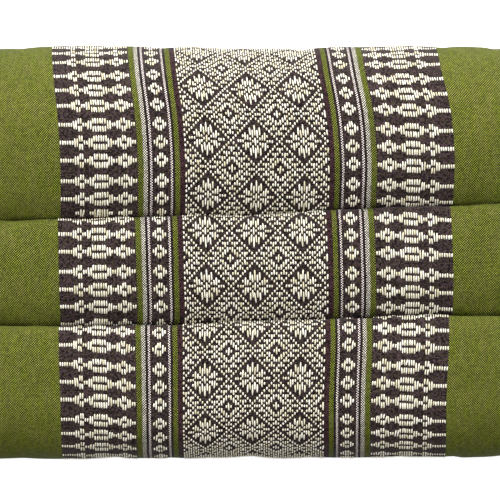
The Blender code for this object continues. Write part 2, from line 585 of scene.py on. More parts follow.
@dataclass
class ClothSurface:
    """The finished cover as a fine grid of points, which the pattern's threads lie on."""

    layout: ClothLayout
    points: np.ndarray
    outward: np.ndarray = field(init=False)

    def __post_init__(self) -> None:
        """Work out which way the cloth faces at every point."""
        self.outward = outward_of(self.points)

    def read(self, grid: np.ndarray, column: np.ndarray, line: np.ndarray) -> np.ndarray:
        """Read a grid between its points.

        Args:
            grid: The grid.
            column: Places in the coarse mesh's columns.
            line: The coarse mesh's lines there.

        Returns:
            The values.
        """
        steps = (grid.shape[0] - 1) // self.layout.columns
        a = np.clip(column * steps, 0, grid.shape[0] - 1.001)
        b = np.clip(line * steps, 0, grid.shape[1] - 1.001)
        i, j = a.astype(int), b.astype(int)
        s, t = (a - i)[..., None], (b - j)[..., None]
        near = grid[i, j] * (1 - s) + grid[i + 1, j] * s
        far = grid[i, j + 1] * (1 - s) + grid[i + 1, j + 1] * s
        return near * (1 - t) + far * t

    def lifted(self, u: np.ndarray, row: np.ndarray, height: np.ndarray) -> np.ndarray:
        """Points at a height above the cloth.

        Args:
            u: Places along the pillow, on the cloth.
            row: Weft rows, fractions allowed.
            height: Heights in mm.

        Returns:
            The points (..., xyz) in mm.
        """
        column = self.layout.column_of(u)
        line = self.layout.line_of(u, row)
        facing = self.read(self.outward, column, line)
        facing /= np.linalg.norm(facing, axis=-1, keepdims=True)
        return self.read(self.points, column, line) + facing * height[..., None]


# Mesh helpers


class Side(Enum):
    """The pillow's two halves and ends, by their direction along X."""

    LEFT = -1
    RIGHT = 1


class Slot(Enum):
    """The record's material slots."""

    SLEEVE = "sleeve_cloth"
    PANEL = "panel_cloth"
    THREAD = "pattern_thread"


def set_points(piece: bpy.types.Object, points: np.ndarray) -> None:
    """Move a mesh's vertices to points given in millimetres."""
    piece.data.vertices.foreach_set("co", (points.reshape(-1, 3) * MM).ravel())
    piece.data.update()


def get_points(mesh: bpy.types.Mesh) -> np.ndarray:
    """A mesh's vertices.

    Args:
        mesh: The mesh.

    Returns:
        Their places in mm.
    """
    flat = np.empty(len(mesh.vertices) * 3)
    mesh.vertices.foreach_get("co", flat)
    return flat.reshape(-1, 3) / MM


@contextmanager
def editing(piece: bpy.types.Object, chosen: np.ndarray) -> Iterator[None]:
    """Edit mode, for as long as the block runs.

    Args:
        piece: The new piece, which is the active object.
        chosen: Which of its vertices are selected.
    """
    mesh = piece.data
    mesh.edges.foreach_set("select", np.zeros(len(mesh.edges), bool))
    mesh.polygons.foreach_set("select", np.zeros(len(mesh.polygons), bool))
    mesh.vertices.foreach_set("select", chosen)
    bpy.context.tool_settings.mesh_select_mode = (True, False, False)
    bpy.ops.object.mode_set(mode="EDIT")
    yield
    bpy.ops.object.mode_set(mode="OBJECT")


def apply_modifier(piece: bpy.types.Object, modifier: bpy.types.Modifier) -> None:
    """Make a modifier's work part of the piece's mesh."""
    bpy.context.view_layer.objects.active = piece
    bpy.ops.object.modifier_apply(modifier=modifier.name)


def flat_sheet(name: str, across: int, along: int) -> bpy.types.Object:
    """A flat square sheet of cells, two units wide, centred on the origin.

    Args:
        name: The piece's name.
        across: How many cells along X.
        along: How many cells along Y.

    Returns:
        The sheet, whose vertices run along X first.
    """
    bpy.ops.object.select_all(action="DESELECT")
    bpy.ops.mesh.primitive_grid_add(x_subdivisions=across, y_subdivisions=along, size=2)
    sheet = bpy.context.object
    sheet.name = sheet.data.name = name
    return sheet


def write_map(piece: bpy.types.Object, name: str, places: np.ndarray) -> None:
    """Give a mesh a single UV map.

    Args:
        piece: The mesh's object.
        name: The map's name.
        places: One (u, v) pair a vertex.
    """
    mesh = piece.data
    while mesh.uv_layers:
        mesh.uv_layers.remove(mesh.uv_layers[0])
    corners = np.empty(len(mesh.loops), np.int32)
    mesh.loops.foreach_get("vertex_index", corners)
    mesh.uv_layers.new(name=name).uv.foreach_set("vector", places.reshape(-1, 2)[corners].ravel())


def turn_outward(piece: bpy.types.Object) -> None:
    """Make every face of a closed piece point outwards."""
    with editing(piece, np.ones(len(piece.data.vertices), bool)):
        bpy.ops.mesh.normals_make_consistent(inside=False)


def settle(piece: bpy.types.Object, material: bpy.types.Material) -> None:
    """Finish a piece: smooth faces, one material, and its ride on the pillow's body.

    Args:
        piece: The piece.
        material: Its material.
    """
    piece.data.shade_smooth()
    piece.data.materials.clear()
    piece.data.materials.append(material)
    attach(piece, BODY)
    triangles = sum(len(polygon.vertices) - 2 for polygon in piece.data.polygons)
    LOG.info("%s: %d triangles", piece.name, triangles)


# Shader writing


class Wire:
    """A node's output, which arithmetic can be written with."""

    def __init__(self, nodes: Nodes, socket: bpy.types.NodeSocket) -> None:
        """Keep the output and the nodes that it belongs to."""
        self.nodes = nodes
        self.socket = socket

    def beside(self, output: int | str) -> Wire:
        """Another output of the same node."""
        return Wire(self.nodes, self.socket.node.outputs[output])

    def __add__(self, other: Wire | float) -> Wire:
        """The sum."""
        return self.nodes.maths("ADD", self, other)

    def __sub__(self, other: Wire | float) -> Wire:
        """The difference."""
        return self.nodes.maths("SUBTRACT", self, other)

    def __rsub__(self, other: float) -> Wire:
        """The difference, from a number."""
        return self.nodes.maths("SUBTRACT", other, self)

    def __mul__(self, other: Wire | float) -> Wire:
        """The product."""
        return self.nodes.maths("MULTIPLY", self, other)

    def __truediv__(self, other: float) -> Wire:
        """The quotient."""
        return self.nodes.maths("DIVIDE", self, other)

    __radd__ = __add__
    __rmul__ = __mul__


class Nodes:
    """A tree of nodes, made by short calls."""

    def __init__(self, owner: bpy.types.Material | bpy.types.World) -> None:
        """Start the tree of a material or a world with its plain nodes."""
        owner.use_nodes = True
        self.tree = owner.node_tree

    def feed(self, node: bpy.types.Node, inputs: dict[int | str, Any]) -> None:
        """Link wires to a node's sockets, or set the sockets to values.

        Args:
            node: The node.
            inputs: Values or wires by socket.
        """
        for name, value in inputs.items():
            if isinstance(value, Wire):
                self.tree.links.new(value.socket, node.inputs[name])
            else:
                node.inputs[name].default_value = value

    def node(
        self,
        kind: str,
        settings: dict[str, Any] | None = None,
        inputs: dict[int | str, Any] | None = None,
        output: int | str = 0,
    ) -> Wire:
        """Add a node.

        Args:
            kind: The node's type.
            settings: Its properties.
            inputs: Values or wires by socket.
            output: Which of its outputs is wanted.

        Returns:
            That output.
        """
        made = self.tree.nodes.new(kind)
        for name, value in (settings or {}).items():
            setattr(made, name, value)
        self.feed(made, inputs or {})
        return Wire(self, made.outputs[output])

    def maths(self, operation: str, *values: Wire | float) -> Wire:
        """A Math node's result."""
        return self.node("ShaderNodeMath", {"operation": operation}, dict(enumerate(values)))


class Blend(Enum):
    """How two colours are joined."""

    MIX = "MIX"
    TINT = "MULTIPLY"
    SOFTEN = "SOFT_LIGHT"


class Shader(Nodes):
    """One material's nodes."""

    patch_contrast: float = 3.0
    dye_cells: float = 0.06  # how many wide patches of the dye lie in a mm
    dye_detail: float = 3.0
    dye_level: float = 0.4  # of the noise, above which the dye is lighter
    dye_strength: float = 0.35

    def __init__(self, name: str) -> None:
        """Start a material with a plain surface.

        Args:
            name: Its name.
        """
        self.material = bpy.data.materials.new(name)
        super().__init__(self.material)
        self.surface = self.tree.nodes["Principled BSDF"]

    def mix(self, share: Wire | float, one: Any, other: Any, blend: Blend = Blend.MIX) -> Wire:
        """Blend two colours, given as wires or as linear RGB.

        Args:
            share: How much of the other there is.
            one: The first colour.
            other: The other colour.
            blend: How they are joined.

        Returns:
            The blend.
        """
        one, other = (c if isinstance(c, Wire) else (*c, 1.0) for c in (one, other))
        settings = {"data_type": "RGBA", "blend_type": blend.value, "clamp_factor": True}
        return self.node("ShaderNodeMix", settings, {0: share, 6: one, 7: other}, 2)

    def grey(self, value: Wire) -> Wire:
        """A colour with one value in all its channels."""
        return self.node("ShaderNodeCombineXYZ", inputs={0: value, 1: value, 2: value})

    def wave(self, value: Wire, period: float) -> Wire:
        """A wave between 0 and 1."""
        return self.maths("SINE", value * (2 * math.pi / period)) * 0.5 + 0.5

    def at(self, x: Wire | float, y: Wire | float) -> Wire:
        """A place made of two coordinates."""
        return self.node("ShaderNodeCombineXYZ", inputs={0: x, 1: y})

    def speck(self, x: Wire, y: Wire) -> Wire:
        """A random value from 0 to 1 for each unit square."""
        corner = self.at(self.maths("FLOOR", x), self.maths("FLOOR", y))
        return self.node("ShaderNodeTexWhiteNoise", {"noise_dimensions": "2D"}, {"Vector": corner})

    def noise(self, place: Wire, scale: float = 1.0, detail: float = 2.0) -> Wire:
        """Soft noise about 0.5."""
        inputs = {"Vector": place, "Scale": scale, "Detail": detail}
        return self.node("ShaderNodeTexNoise", {"noise_dimensions": "2D"}, inputs)

    def patches(self, u: Wire, v: Wire, cells: Pair) -> Wire:
        """Blotches between 0 and 1, of which so many lie in a millimetre along u and v."""
        place = self.at(u * cells[0], v * cells[1])
        return (self.noise(place) - 0.5) * self.patch_contrast + 0.5

    def unevenly_dyed(self, colour: Wire, u: Wire, v: Wire) -> Wire:
        """A cloth's colour, lighter in wide soft patches."""
        wide = self.noise(self.at(u, v), self.dye_cells, self.dye_detail) - self.dye_level
        return self.mix(wide * self.dye_strength, colour, (1.0, 1.0, 1.0), Blend.SOFTEN)

    def millimetres(self, uv_map: str) -> tuple[Wire, Wire]:
        """A UV map's two coordinates.

        Args:
            uv_map: The map's name.

        Returns:
            Both in mm.
        """
        place = self.node("ShaderNodeUVMap", {"uv_map": uv_map})
        across = self.node("ShaderNodeSeparateXYZ", inputs={0: place})
        return across / MM, across.beside(1) / MM


# Finishes. Colours are linear RGB.


@dataclass(frozen=True)
class Weave:
    """A fine plain cloth, whose every crossing differs at random, with painted shade where a thread goes
    under.
    """

    # shade: near black, painted shade for the hollows where a thread goes under; in the silver and pale
    # stripes it also stands for their darker weft
    shade: Colour
    # light: the colour on the tops where a thread crosses over, partly a painted highlight
    light: Colour
    faded: Colour  # the light in the cloth's duller patches
    covered: float  # how much of a thread that crosses over is hidden at its ends
    crossing: float  # how strongly the shade tells a thread over from one under
    warp: float = 0.430  # from thread to thread along u
    weft: float = 0.455
    scatter: float = 0.55  # how strongly it differs from crossing to crossing
    slub: float = 0.25  # how strongly it follows whole threads
    slub_cells: Pair = (0.25, 0.12)  # how many lengths of such a thread differ in a mm, along u and v
    wander: float = 0.30  # how far the threads stray, in mm
    wander_cells: float = 0.22
    patch_cells: Pair = (0.42, 0.11)  # how many duller patches lie in a mm, along u and v

    def lay(self, shader: Shader, u: Wire, v: Wire) -> tuple[Wire, Wire]:
        """Weave the cloth.

        Args:
            shader: The material's nodes.
            u: Place along the pillow, in mm.
            v: Place round it, in mm.

        Returns:
            Its colour, and its relief from 0 to 1.
        """
        stray = (shader.noise(shader.at(u, v), self.wander_cells) - 0.5) * self.wander
        over = self.over(shader, u + stray, v - stray)
        across, along = u / self.warp, v / self.weft
        random = shader.speck(across, along) - 0.5
        threads = shader.noise(shader.at(u * self.slub_cells[0], along))
        threads = threads + shader.noise(shader.at(across, v * self.slub_cells[1])) - 1.0
        # The colour falls to the shade where the relief `over` is low: painted shade in the weave's hollows
        share = (over - self.covered) * self.crossing + random * self.scatter + threads * self.slub
        light = shader.mix(shader.patches(u, v, self.patch_cells), self.light, self.faded)
        return shader.mix(share, self.shade, light), over

    def over(self, shader: Shader, u: Wire, v: Wire) -> Wire:
        """Tell the threads that cross over from those that go under.

        Args:
            shader: The material's nodes.
            u: Place along the pillow, in mm.
            v: Place round it, in mm.

        Returns:
            1 where a thread crosses over, 0 where it goes under.
        """
        across = shader.maths("SINE", u * (math.pi / self.warp))
        along = shader.maths("SINE", v * (math.pi / self.weft))
        return across * along * 0.5 + 0.5


@dataclass(frozen=True)
class Ribbed:
    """A dark cloth of fine weft lines, in two yarns that come and go."""

    one: Colour
    other: Colour
    shadow: Colour
    pitch: float = 0.455
    rib: float = 0.40  # how strongly the shade follows the lines
    scatter: float = 1.10  # how strongly it differs from thread to thread
    covered: float = 0.34  # how much of the yarn is in the shadow
    patch_cells: Pair = (0.8, 1.0)  # how many patches of the other yarn lie in a mm, along u and v

    def lay(self, shader: Shader, u: Wire, v: Wire) -> tuple[Wire, Wire]:
        """Weave the cloth.

        Args:
            shader: The material's nodes.
            u: Place along the pillow, in mm.
            v: Place round it, in mm.

        Returns:
            Its colour, and its relief from 0 to 1.
        """
        rib = shader.wave(v, self.pitch)
        yarn = shader.mix(shader.patches(u, v, self.patch_cells), self.one, self.other)
        random = shader.speck(u / self.pitch, v / self.pitch)
        return shader.mix(rib * self.rib + random * self.scatter - self.covered, self.shadow, yarn), rib


class Yarn(Enum):
    """The cloths that the sleeve's stripes are woven in."""

    # Each weave's first colour and each ribbed cloth's last are near black: painted shade in the cloth's
    # hollows and between its threads
    GREEN = Weave((0.002, 0.004, 0.000), (0.256, 0.300, 0.025), (0.288, 0.305, 0.054), 0.50, 3.2)
    GROUND = Ribbed((0.078, 0.046, 0.060), (0.062, 0.047, 0.026), (0.003, 0.002, 0.002))
    PLUM = Ribbed((0.070, 0.028, 0.038), (0.056, 0.026, 0.025), (0.004, 0.002, 0.002))
    SILVER = Weave((0.010, 0.008, 0.006), (0.880, 0.810, 0.680), (0.810, 0.770, 0.640), 0.52, 3.6)
    PALE = Weave((0.004, 0.002, 0.002), (0.930, 0.830, 0.770), (0.870, 0.750, 0.710), 0.48, 3.8)


@dataclass(frozen=True)
class Stripe:
    """A stripe on both halves of the cloth, out to a distance from its middle."""

    outer: float
    yarn: Yarn
    strength: float = 1.0  # brightness against its yarn's own


STRIPES = (
    Stripe(25.81, Yarn.GROUND, 0.75),
    Stripe(27.55, Yarn.PLUM),
    Stripe(29.3, Yarn.GREEN, 0.87),
    Stripe(30.1, Yarn.GROUND, 0.45),
    Stripe(30.87, Yarn.PALE),
    Stripe(37.45, Yarn.GROUND, 0.85),
    Stripe(38.25, Yarn.PALE),
    Stripe(39.1, Yarn.GROUND, 0.45),
    Stripe(40.6, Yarn.SILVER),
    Stripe(42.6, Yarn.GREEN, 0.8),
    Stripe(70.25, Yarn.GROUND),
    Stripe(200.0, Yarn.GREEN),
)


@dataclass(frozen=True)
class ClothFinish:
    """What the surfaces of the cloths and of the threads have in common."""

    relief: float = 0.12
    sheen: float = 0.10
    sheen_roughness: float = 0.3
    specular: float = 0.12
    roughness: float = 0.92
    relief_roughness: float = 0.1  # how much rougher the top of the relief is than its bottom

    def dress(
        self, shader: Shader, colour: Wire, height: Wire, polish: Wire | float = 0.0
    ) -> bpy.types.Material:
        """Feed the surface.

        Args:
            shader: The material's nodes.
            colour: Base colour.
            height: Relief from 0 to 1.
            polish: How much less rough it is.

        Returns:
            The material.
        """
        rough = height * self.relief_roughness + (self.roughness - self.relief_roughness / 2) - polish
        bump = {"Strength": 1.0, "Distance": self.relief * MM, "Height": height}
        surface = {
            "Base Color": colour,
            "Roughness": rough,
            "Normal": shader.node("ShaderNodeBump", inputs=bump),
            "Sheen Weight": self.sheen,
            "Sheen Roughness": self.sheen_roughness,
            "Specular IOR Level": self.specular,
        }
        shader.feed(shader.surface, surface)
        return shader.material


@dataclass(frozen=True)
class SleeveFinish(ClothFinish):
    """The sleeve's striped cloth."""

    edge_wander: float = 0.10
    green_polish: float = 0.20  # how much less rough the plain green is

    def on_stripes(self, shader: Shader, across: Wire) -> list[Wire]:
        """For each stripe, 1 on it and 0 elsewhere."""
        past = [shader.maths("GREATER_THAN", across, stripe.outer) for stripe in STRIPES[:-1]]
        return [1 - past[0]] + [one - other for one, other in zip(past, past[1:])] + [past[-1]]

    def on_yarn(self, on: list[Wire], yarn: Yarn) -> Wire:
        """1 on the stripes of one yarn and 0 elsewhere."""
        return sum((wire for wire, stripe in zip(on, STRIPES) if stripe.yarn is yarn), 0.0)

    def material(self) -> bpy.types.Material:
        """Make the material.

        Returns:
            The material, ready for its pieces.
        """
        shader = Shader("sleeve cloth")
        u, v = shader.millimetres(CLOTH_MAP)
        half = shader.maths("SIGN", u) + 3.0  # the two halves' edges wander each in its own way
        wander = shader.speck(half, v / Yarn.GROUND.value.pitch) - 0.5
        on = self.on_stripes(shader, shader.maths("ABSOLUTE", u) + wander * self.edge_wander)
        colour, height = Yarn.GREEN.value.lay(shader, u, v)
        for yarn in (Yarn.GROUND, Yarn.PLUM, Yarn.SILVER, Yarn.PALE):
            mask = self.on_yarn(on, yarn)
            its_colour, its_height = yarn.value.lay(shader, u, v)
            colour = shader.mix(mask, colour, its_colour)
            height = height + mask * (its_height - height)
        strength = sum((wire * stripe.strength for wire, stripe in zip(on, STRIPES)), 0.0)
        colour = shader.mix(1.0, colour, shader.grey(strength), Blend.TINT)
        polish = self.on_yarn(on, Yarn.GREEN) * self.green_polish
        return self.dress(shader, shader.unevenly_dyed(colour, u, v), height, polish)


@dataclass(frozen=True)
class PanelFinish(ClothFinish):
    """The end panels' plain cloth."""

    roughness: float = 0.72

    def material(self) -> bpy.types.Material:
        """Make the material.

        Returns:
            The material, ready for its pieces.
        """
        shader = Shader("panel cloth")
        u, v = shader.millimetres(CLOTH_MAP)
        colour, height = Yarn.GREEN.value.lay(shader, u, v)
        return self.dress(shader, shader.unevenly_dyed(colour, u, v), height)


@dataclass(frozen=True)
class ThreadFinish(ClothFinish):
    """The pattern's soft pale thread."""

    relief: float = 0.05
    roughness: float = 0.8
    # shade: the darker thread colour, for the threads' random tone and for painted shade between the strands
    shade: Colour = (0.620, 0.560, 0.360)
    light: Colour = (0.980, 0.955, 0.850)
    strands: float = 2.5
    strand_shift: float = 0.35  # how much the strands' places differ from thread to thread
    fibres: float = 7.0
    by_thread: float = 0.75  # how strongly the shade differs from thread to thread
    by_strand: float = 0.15
    by_fibre: float = 0.5

    def material(self) -> bpy.types.Material:
        """Make the material.

        Returns:
            The material, ready for its pieces.
        """
        shader = Shader("pattern thread")
        place = shader.node("ShaderNodeUVMap", {"uv_map": THREAD_MAP})
        across = shader.node("ShaderNodeSeparateXYZ", inputs={0: place})
        tone = shader.node("ShaderNodeAttribute", {"attribute_name": TONE}, output="Fac")
        strand = shader.wave(across + tone * self.strand_shift, 1 / self.strands)
        fibre = shader.noise(place, self.fibres) - 0.5
        # Besides each thread's random tone, the colour darkens in the low parts of the strands' relief, the
        # same wave that feeds the bump: painted shade between the strands
        share = tone * self.by_thread + strand * self.by_strand + fibre * self.by_fibre
        return self.dress(shader, shader.mix(share, self.shade, self.light), strand)


@dataclass(frozen=True)
class FloorFinish:
    """The pale floor, bright enough to show white."""

    colour: Colour = (0.90, 0.90, 0.90)
    glow: float = 0.64

    def material(self) -> bpy.types.Material:
        """Make the material.

        Returns:
            The material, ready for its pieces.
        """
        shader = Shader("pale floor")
        surface = {
            "Base Color": (*self.colour, 1.0),
            "Roughness": 1.0,
            "Emission Color": (1.0, 1.0, 1.0, 1.0),
            "Emission Strength": self.glow,
        }
        shader.feed(shader.surface, surface)
        return shader.material


# The cover


@dataclass
class Sleeve:
    """The cloth sleeve: wrapped round the rolls, sewn down, blown up and closed under its ends."""

    layout: ClothLayout
    finish: SleeveFinish
    seed: int = 7
    lump_waves: int = 18
    lump_height: float = 0.10
    lump_length: float = 26.0
    lump_spread: Pair = (0.6, 2.2)  # the least and the most of that length
    lump_turns: tuple[int, int] = (3, 17)  # how often a wave may go up and down round the pillow
    gather_height: float = 0.25
    gather_reach: float = 11.0  # how far from an end seam the gathers run
    gather_waves: tuple[int, ...] = (37, 53, 71, 96)
    freedom: float = 0.7  # the power by which the cloth is freer away from a channel
    slack: float = 0.012  # how much longer the cloth is than the form
    pressure: float = 4.0
    frames: int = 20
    cap: float = 3.0
    even_over: int = 7  # columns over which the blown-up form is brought back to the pillow's
    detail_kept: float = 0.35  # the share of the simulation's own small folds that the pillow keeps
    end_rings: tuple[Pair, ...] = ((0.86, 3.6), (0.6, 5.6), (0.3, 6.4))  # size and reach
    lowest_cloth: float = 0.25
    fill: float = 0.85

    def phase(self, points: np.ndarray) -> np.ndarray:
        """The angle of every line of a grid, once round the pillow."""
        return np.linspace(0.0, 2 * math.pi, points.shape[1])[None, :]

    def lumps(self, points: np.ndarray) -> np.ndarray:
        """Soft uneven heights over the cloth, from the filling.

        Args:
            points: The grid (column, line, xyz) in mm.

        Returns:
            A height for each point, in mm.
        """
        draw = np.random.default_rng(self.seed)
        total = np.zeros(points.shape[:2])
        for _ in range(self.lump_waves):
            wave = 2 * math.pi / (self.lump_length * draw.uniform(*self.lump_spread))
            start = draw.uniform(0.0, 2 * math.pi)
            turns = draw.integers(*self.lump_turns) * self.phase(points)
            total += np.sin(wave * points[:, :, 0] + turns + start)
        return total * self.lump_height / math.sqrt(self.lump_waves / 2)

    def gathers(self, points: np.ndarray) -> np.ndarray:
        """Small pleats that run into the two end seams.

        Args:
            points: The grid (column, line, xyz) in mm.

        Returns:
            A height for each point, in mm.
        """
        draw = np.random.default_rng(self.seed + 1)
        us = self.layout.u_of(np.arange(points.shape[0], dtype=float))[:, None]
        total = np.zeros(points.shape[:2])
        for end in Side:
            waves = uneven_waves(draw, self.gather_waves, self.phase(points))
            total += waves * np.exp(-(self.layout.form.seam_x - end.value * us) / self.gather_reach)
        return total * self.gather_height

    def free(self) -> np.ndarray:
        """0 on every channel, rising to 1 on the crowns, one value a line of the coarse mesh."""
        shares = [self.layout.crowded(np.arange(n) / n) for n in self.layout.roll_lines]
        return np.append(np.sin(math.pi * np.concatenate(shares)) ** self.freedom, 0.0)

    def tube(self, name: str, points: np.ndarray) -> tuple[bpy.types.Object, np.ndarray]:
        """A closed tube of cloth through a grid of points.

        Args:
            name: The piece's name.
            points: The grid (column, line, xyz) in mm, its first line also its last.

        Returns:
            The tube, and which point of the flattened grid each of its first vertices is. The
            vertices after those are its closed ends.
        """
        across, along = points.shape[0] - 1, points.shape[1] - 1
        sheet = flat_sheet(name, across, along)
        set_points(sheet, points.transpose(1, 0, 2))
        steps = across // self.layout.columns
        column, line = np.meshgrid(np.arange(across + 1) / steps, np.arange(along + 1) / steps)
        us, rows = self.layout.u_of(column), self.layout.row_at(column, line)
        write_map(sheet, CLOTH_MAP, np.stack([us, -rows * self.layout.row_pitch], axis=2) * MM)
        place = sheet.data.attributes.new("place", "INT", "POINT")
        place.data.foreach_set("value", np.arange(len(sheet.data.vertices), dtype=np.int32))
        on_seam = np.zeros((along + 1, across + 1), bool)
        on_seam[[0, -1]] = True
        with editing(sheet, on_seam.ravel()):
            bpy.ops.mesh.remove_doubles(threshold=NEAR * MM)
        places = np.zeros(len(sheet.data.vertices), dtype=np.int32)
        place = sheet.data.attributes["place"]
        place.data.foreach_get("value", places)
        sheet.data.attributes.remove(place)
        self.close_end(sheet, points[0], Side.LEFT)
        self.close_end(sheet, points[-1], Side.RIGHT)
        turn_outward(sheet)
        return sheet, places

    def close_end(self, sheet: bpy.types.Object, ring: np.ndarray, side: Side) -> None:
        """Close one end of the tube by a shallow dome, which the end panel covers.

        Args:
            sheet: The open tube.
            ring: The tube's last ring of points.
            side: Which end it is.
        """
        centre = Vector(ring[:-1].mean(axis=0)) * MM
        before, out = 1.0, 0.0
        with editing(sheet, np.abs(get_points(sheet.data)[:, 0] - ring[0, 0]) < NEAR):
            for size, reach in self.end_rings:
                move = {"value": (side.value * (reach - out) * MM, 0.0, 0.0)}
                bpy.ops.mesh.extrude_region_move(TRANSFORM_OT_translate=move)
                shrink = size / before
                bpy.ops.transform.resize(value=(1.0, shrink, shrink), center_override=centre)
                before, out = size, reach
            bpy.ops.mesh.edge_face_add()

    def blown_up(self, points: np.ndarray) -> np.ndarray:
        """The grid's points after a cloth simulation, sewn down along the channels and the ends.

        Args:
            points: The grid (column, line, xyz) in mm.

        Returns:
            How far each of its points has moved, in mm.
        """
        trial, places = self.tube("cloth_trial", points)
        before = get_points(trial.data)
        sewn_lines = [start for start, _ in self.layout.rolls()] + [self.layout.lines()]
        line, column = places // points.shape[0], places % points.shape[0]
        sewn = np.isin(line, sewn_lines) | (column == 0) | (column == self.layout.columns)
        group = trial.vertex_groups.new(name="sewn")
        group.add(np.flatnonzero(sewn).tolist(), 1.0, "REPLACE")
        group.add(list(range(len(places), len(before))), 1.0, "REPLACE")
        cloth = trial.modifiers.new("cloth", "CLOTH")
        cloth.settings.vertex_group_mass = group.name
        cloth.settings.use_pressure = True
        cloth.settings.uniform_pressure_force = self.pressure
        cloth.settings.shrink_min = -self.slack
        cloth.settings.effector_weights.gravity = 0.0
        cloth.collision_settings.use_collision = False
        cloth.point_cache.frame_end = self.frames
        for frame in range(1, self.frames + 1):
            bpy.context.scene.frame_set(frame)
        apply_modifier(trial, cloth)
        moved = (get_points(trial.data) - before)[: len(places)]
        bpy.data.objects.remove(trial, do_unlink=True)
        bpy.context.scene.frame_set(1)
        grid = np.zeros((points.shape[0] * points.shape[1], 3))
        grid[places] = moved
        grid = grid.reshape(points.shape[1], points.shape[0], 3).transpose(1, 0, 2)
        grid[:, 0] = grid[:, -1] = 0.0
        far = np.linalg.norm(grid, axis=2, keepdims=True)
        LOG.info("cloth simulation: moved %.2f mm on average, %.2f at most", far.mean(), far.max())
        return grid * np.minimum(1.0, self.cap / np.maximum(far, SLIGHT))

    def local_detail(self, moved: np.ndarray) -> np.ndarray:
        """Take a movement's even part, over a few columns, off it.

        Args:
            moved: How far each point of the grid has moved.

        Returns:
            What is left.
        """
        reach = np.arange(-2 * self.even_over, 2 * self.even_over + 1)
        weights = np.exp(-0.5 * (reach / self.even_over) ** 2)
        padded = np.pad(moved, ((len(reach) // 2, len(reach) // 2), (0, 0), (0, 0)), mode="edge")
        even = sum(w * padded[k : k + moved.shape[0]] for k, w in enumerate(weights / weights.sum()))
        return moved - even

    def shaped(self) -> ClothSurface:
        """Form the cover.

        Returns:
            Its finished surface.
        """
        points = self.layout.wrapped()
        free = self.free()[None, :]
        uneven = self.lumps(points) * free + self.gathers(points) * np.sqrt(free)
        points += outward_of(points) * uneven[..., None]
        points += self.local_detail(self.blown_up(points)) * self.detail_kept
        rolls = [halfway(points[:, k : k + count + 1], 1)[:, :-1] for k, count in self.layout.rolls()]
        points = np.concatenate(rolls + [points[:, :1]], axis=1)
        points = halfway(points, 0)
        points[:, :, 2] = np.maximum(points[:, :, 2], self.lowest_cloth)
        return ClothSurface(self.layout, points)

    def build(self) -> ClothSurface:
        """Make the sleeve's piece.

        Returns:
            Its surface, for the pattern's threads and the end panels.
        """
        surface = self.shaped()
        sleeve, _ = self.tube("sleeve", surface.points)
        settle(sleeve, self.finish.material())
        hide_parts("pillow_body")
        return surface


@dataclass
class EndPanel:
    """The plain panel that closes one end, held by its seam and pushed out by the filling."""

    name: str
    side: Side
    surface: ClothSurface
    finish: PanelFinish
    clearance: float = 0.4
    thickness: float = 1.6
    crown: float = 7.0
    squareness: float = 6.0
    lobes: float = 0.12
    pucker_height: float = 0.45
    pucker_reach: float = 0.10  # how far from the seam the puckers run, as a share of the panel
    pucker_waves: tuple[int, ...] = (31, 47, 64)
    pucker_hold: int = 12  # the power by which the seam holds them down
    rim_thickness: float = 0.35  # as a share of the panel's thickness
    rim_rise: float = 25.0  # how steeply the thickness grows away from the rim
    fill: float = 0.85
    seed: int = 21

    def bulge(self, y: np.ndarray, z: np.ndarray, size: np.ndarray) -> np.ndarray:
        """How far the panel stands past its seam, as the filled end behind it does.

        Args:
            y: Places on the panel, in mm.
            z: The same, in mm.
            size: How far out they are, from 0 in the middle to 1 on the seam.

        Returns:
            The distance at each place, in mm.
        """
        form = self.surface.layout.form
        row = (form.line("upper_edge", form.seam_x) - form.line("lower_edge", form.seam_x)) / 3
        lobes = -np.cos(2 * math.pi * y / row) * np.cos(4 * math.pi * z / form.thickness)
        return self.crown * (1 - size**self.squareness) * (1 - self.lobes + self.lobes * lobes)

    def build(self) -> None:
        """Make the panel's piece."""
        ring = self.surface.points[0 if self.side is Side.LEFT else -1]
        cells = (len(ring) - 1) // 4
        panel = flat_sheet(self.name, cells, cells)
        s, t = (get_points(panel.data)[:, :2] * MM).T
        size = np.maximum(np.abs(s), np.abs(t))
        s, t = (place / np.maximum(size, SLIGHT) for place in (s, t))
        edge = 1 - SLIGHT
        on_side = [(s >= edge) & (t >= 0), t >= edge, s <= -edge, t <= -edge]
        round_it = np.select(on_side, [t, 2 - s, 4 - t, 6 + s], default=8 + t)
        lines = np.arange(len(ring)) * 8.0 / (len(ring) - 1)
        centre = ring[:-1].mean(axis=0)
        y, z = (between(centre[k], np.interp(round_it, lines, ring[:, k]), size) for k in (1, 2))
        draw = np.random.default_rng(self.seed + self.side.value)
        waves = uneven_waves(draw, self.pucker_waves, round_it * math.pi / 4)
        puckers = self.pucker_height * waves * np.exp(-(1 - size) / self.pucker_reach)
        puckers *= 1 - size**self.pucker_hold
        out = self.clearance + self.thickness + self.bulge(y, z, size) + puckers
        x = self.side.value * (self.surface.layout.form.seam_x + out)
        set_points(panel, np.stack([x, y, z], axis=1))
        write_map(panel, CLOTH_MAP, np.stack([y, z], axis=1) * MM)
        if self.side is Side.LEFT:
            panel.data.flip_normals()
        self.thicken(panel, size)
        settle(panel, self.finish.material())
        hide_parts(self.name)

    def thicken(self, panel: bpy.types.Object, size: np.ndarray) -> None:
        """Give the sheet its thickness, thin at the seam.

        Args:
            panel: The sheet.
            size: How far out its vertices are, from 0 to 1.
        """
        group = panel.vertex_groups.new(name="thickness")
        for k, share in enumerate(np.clip((1 - size) * self.rim_rise, 0, 1)):
            group.add([k], float(share), "REPLACE")
        wall = panel.modifiers.new("wall", "SOLIDIFY")
        wall.thickness = self.thickness * MM
        wall.offset = -1.0
        wall.vertex_group = group.name
        wall.thickness_vertex_group = self.rim_thickness
        apply_modifier(panel, wall)
        panel.vertex_groups.remove(panel.vertex_groups[0])


# The woven pattern

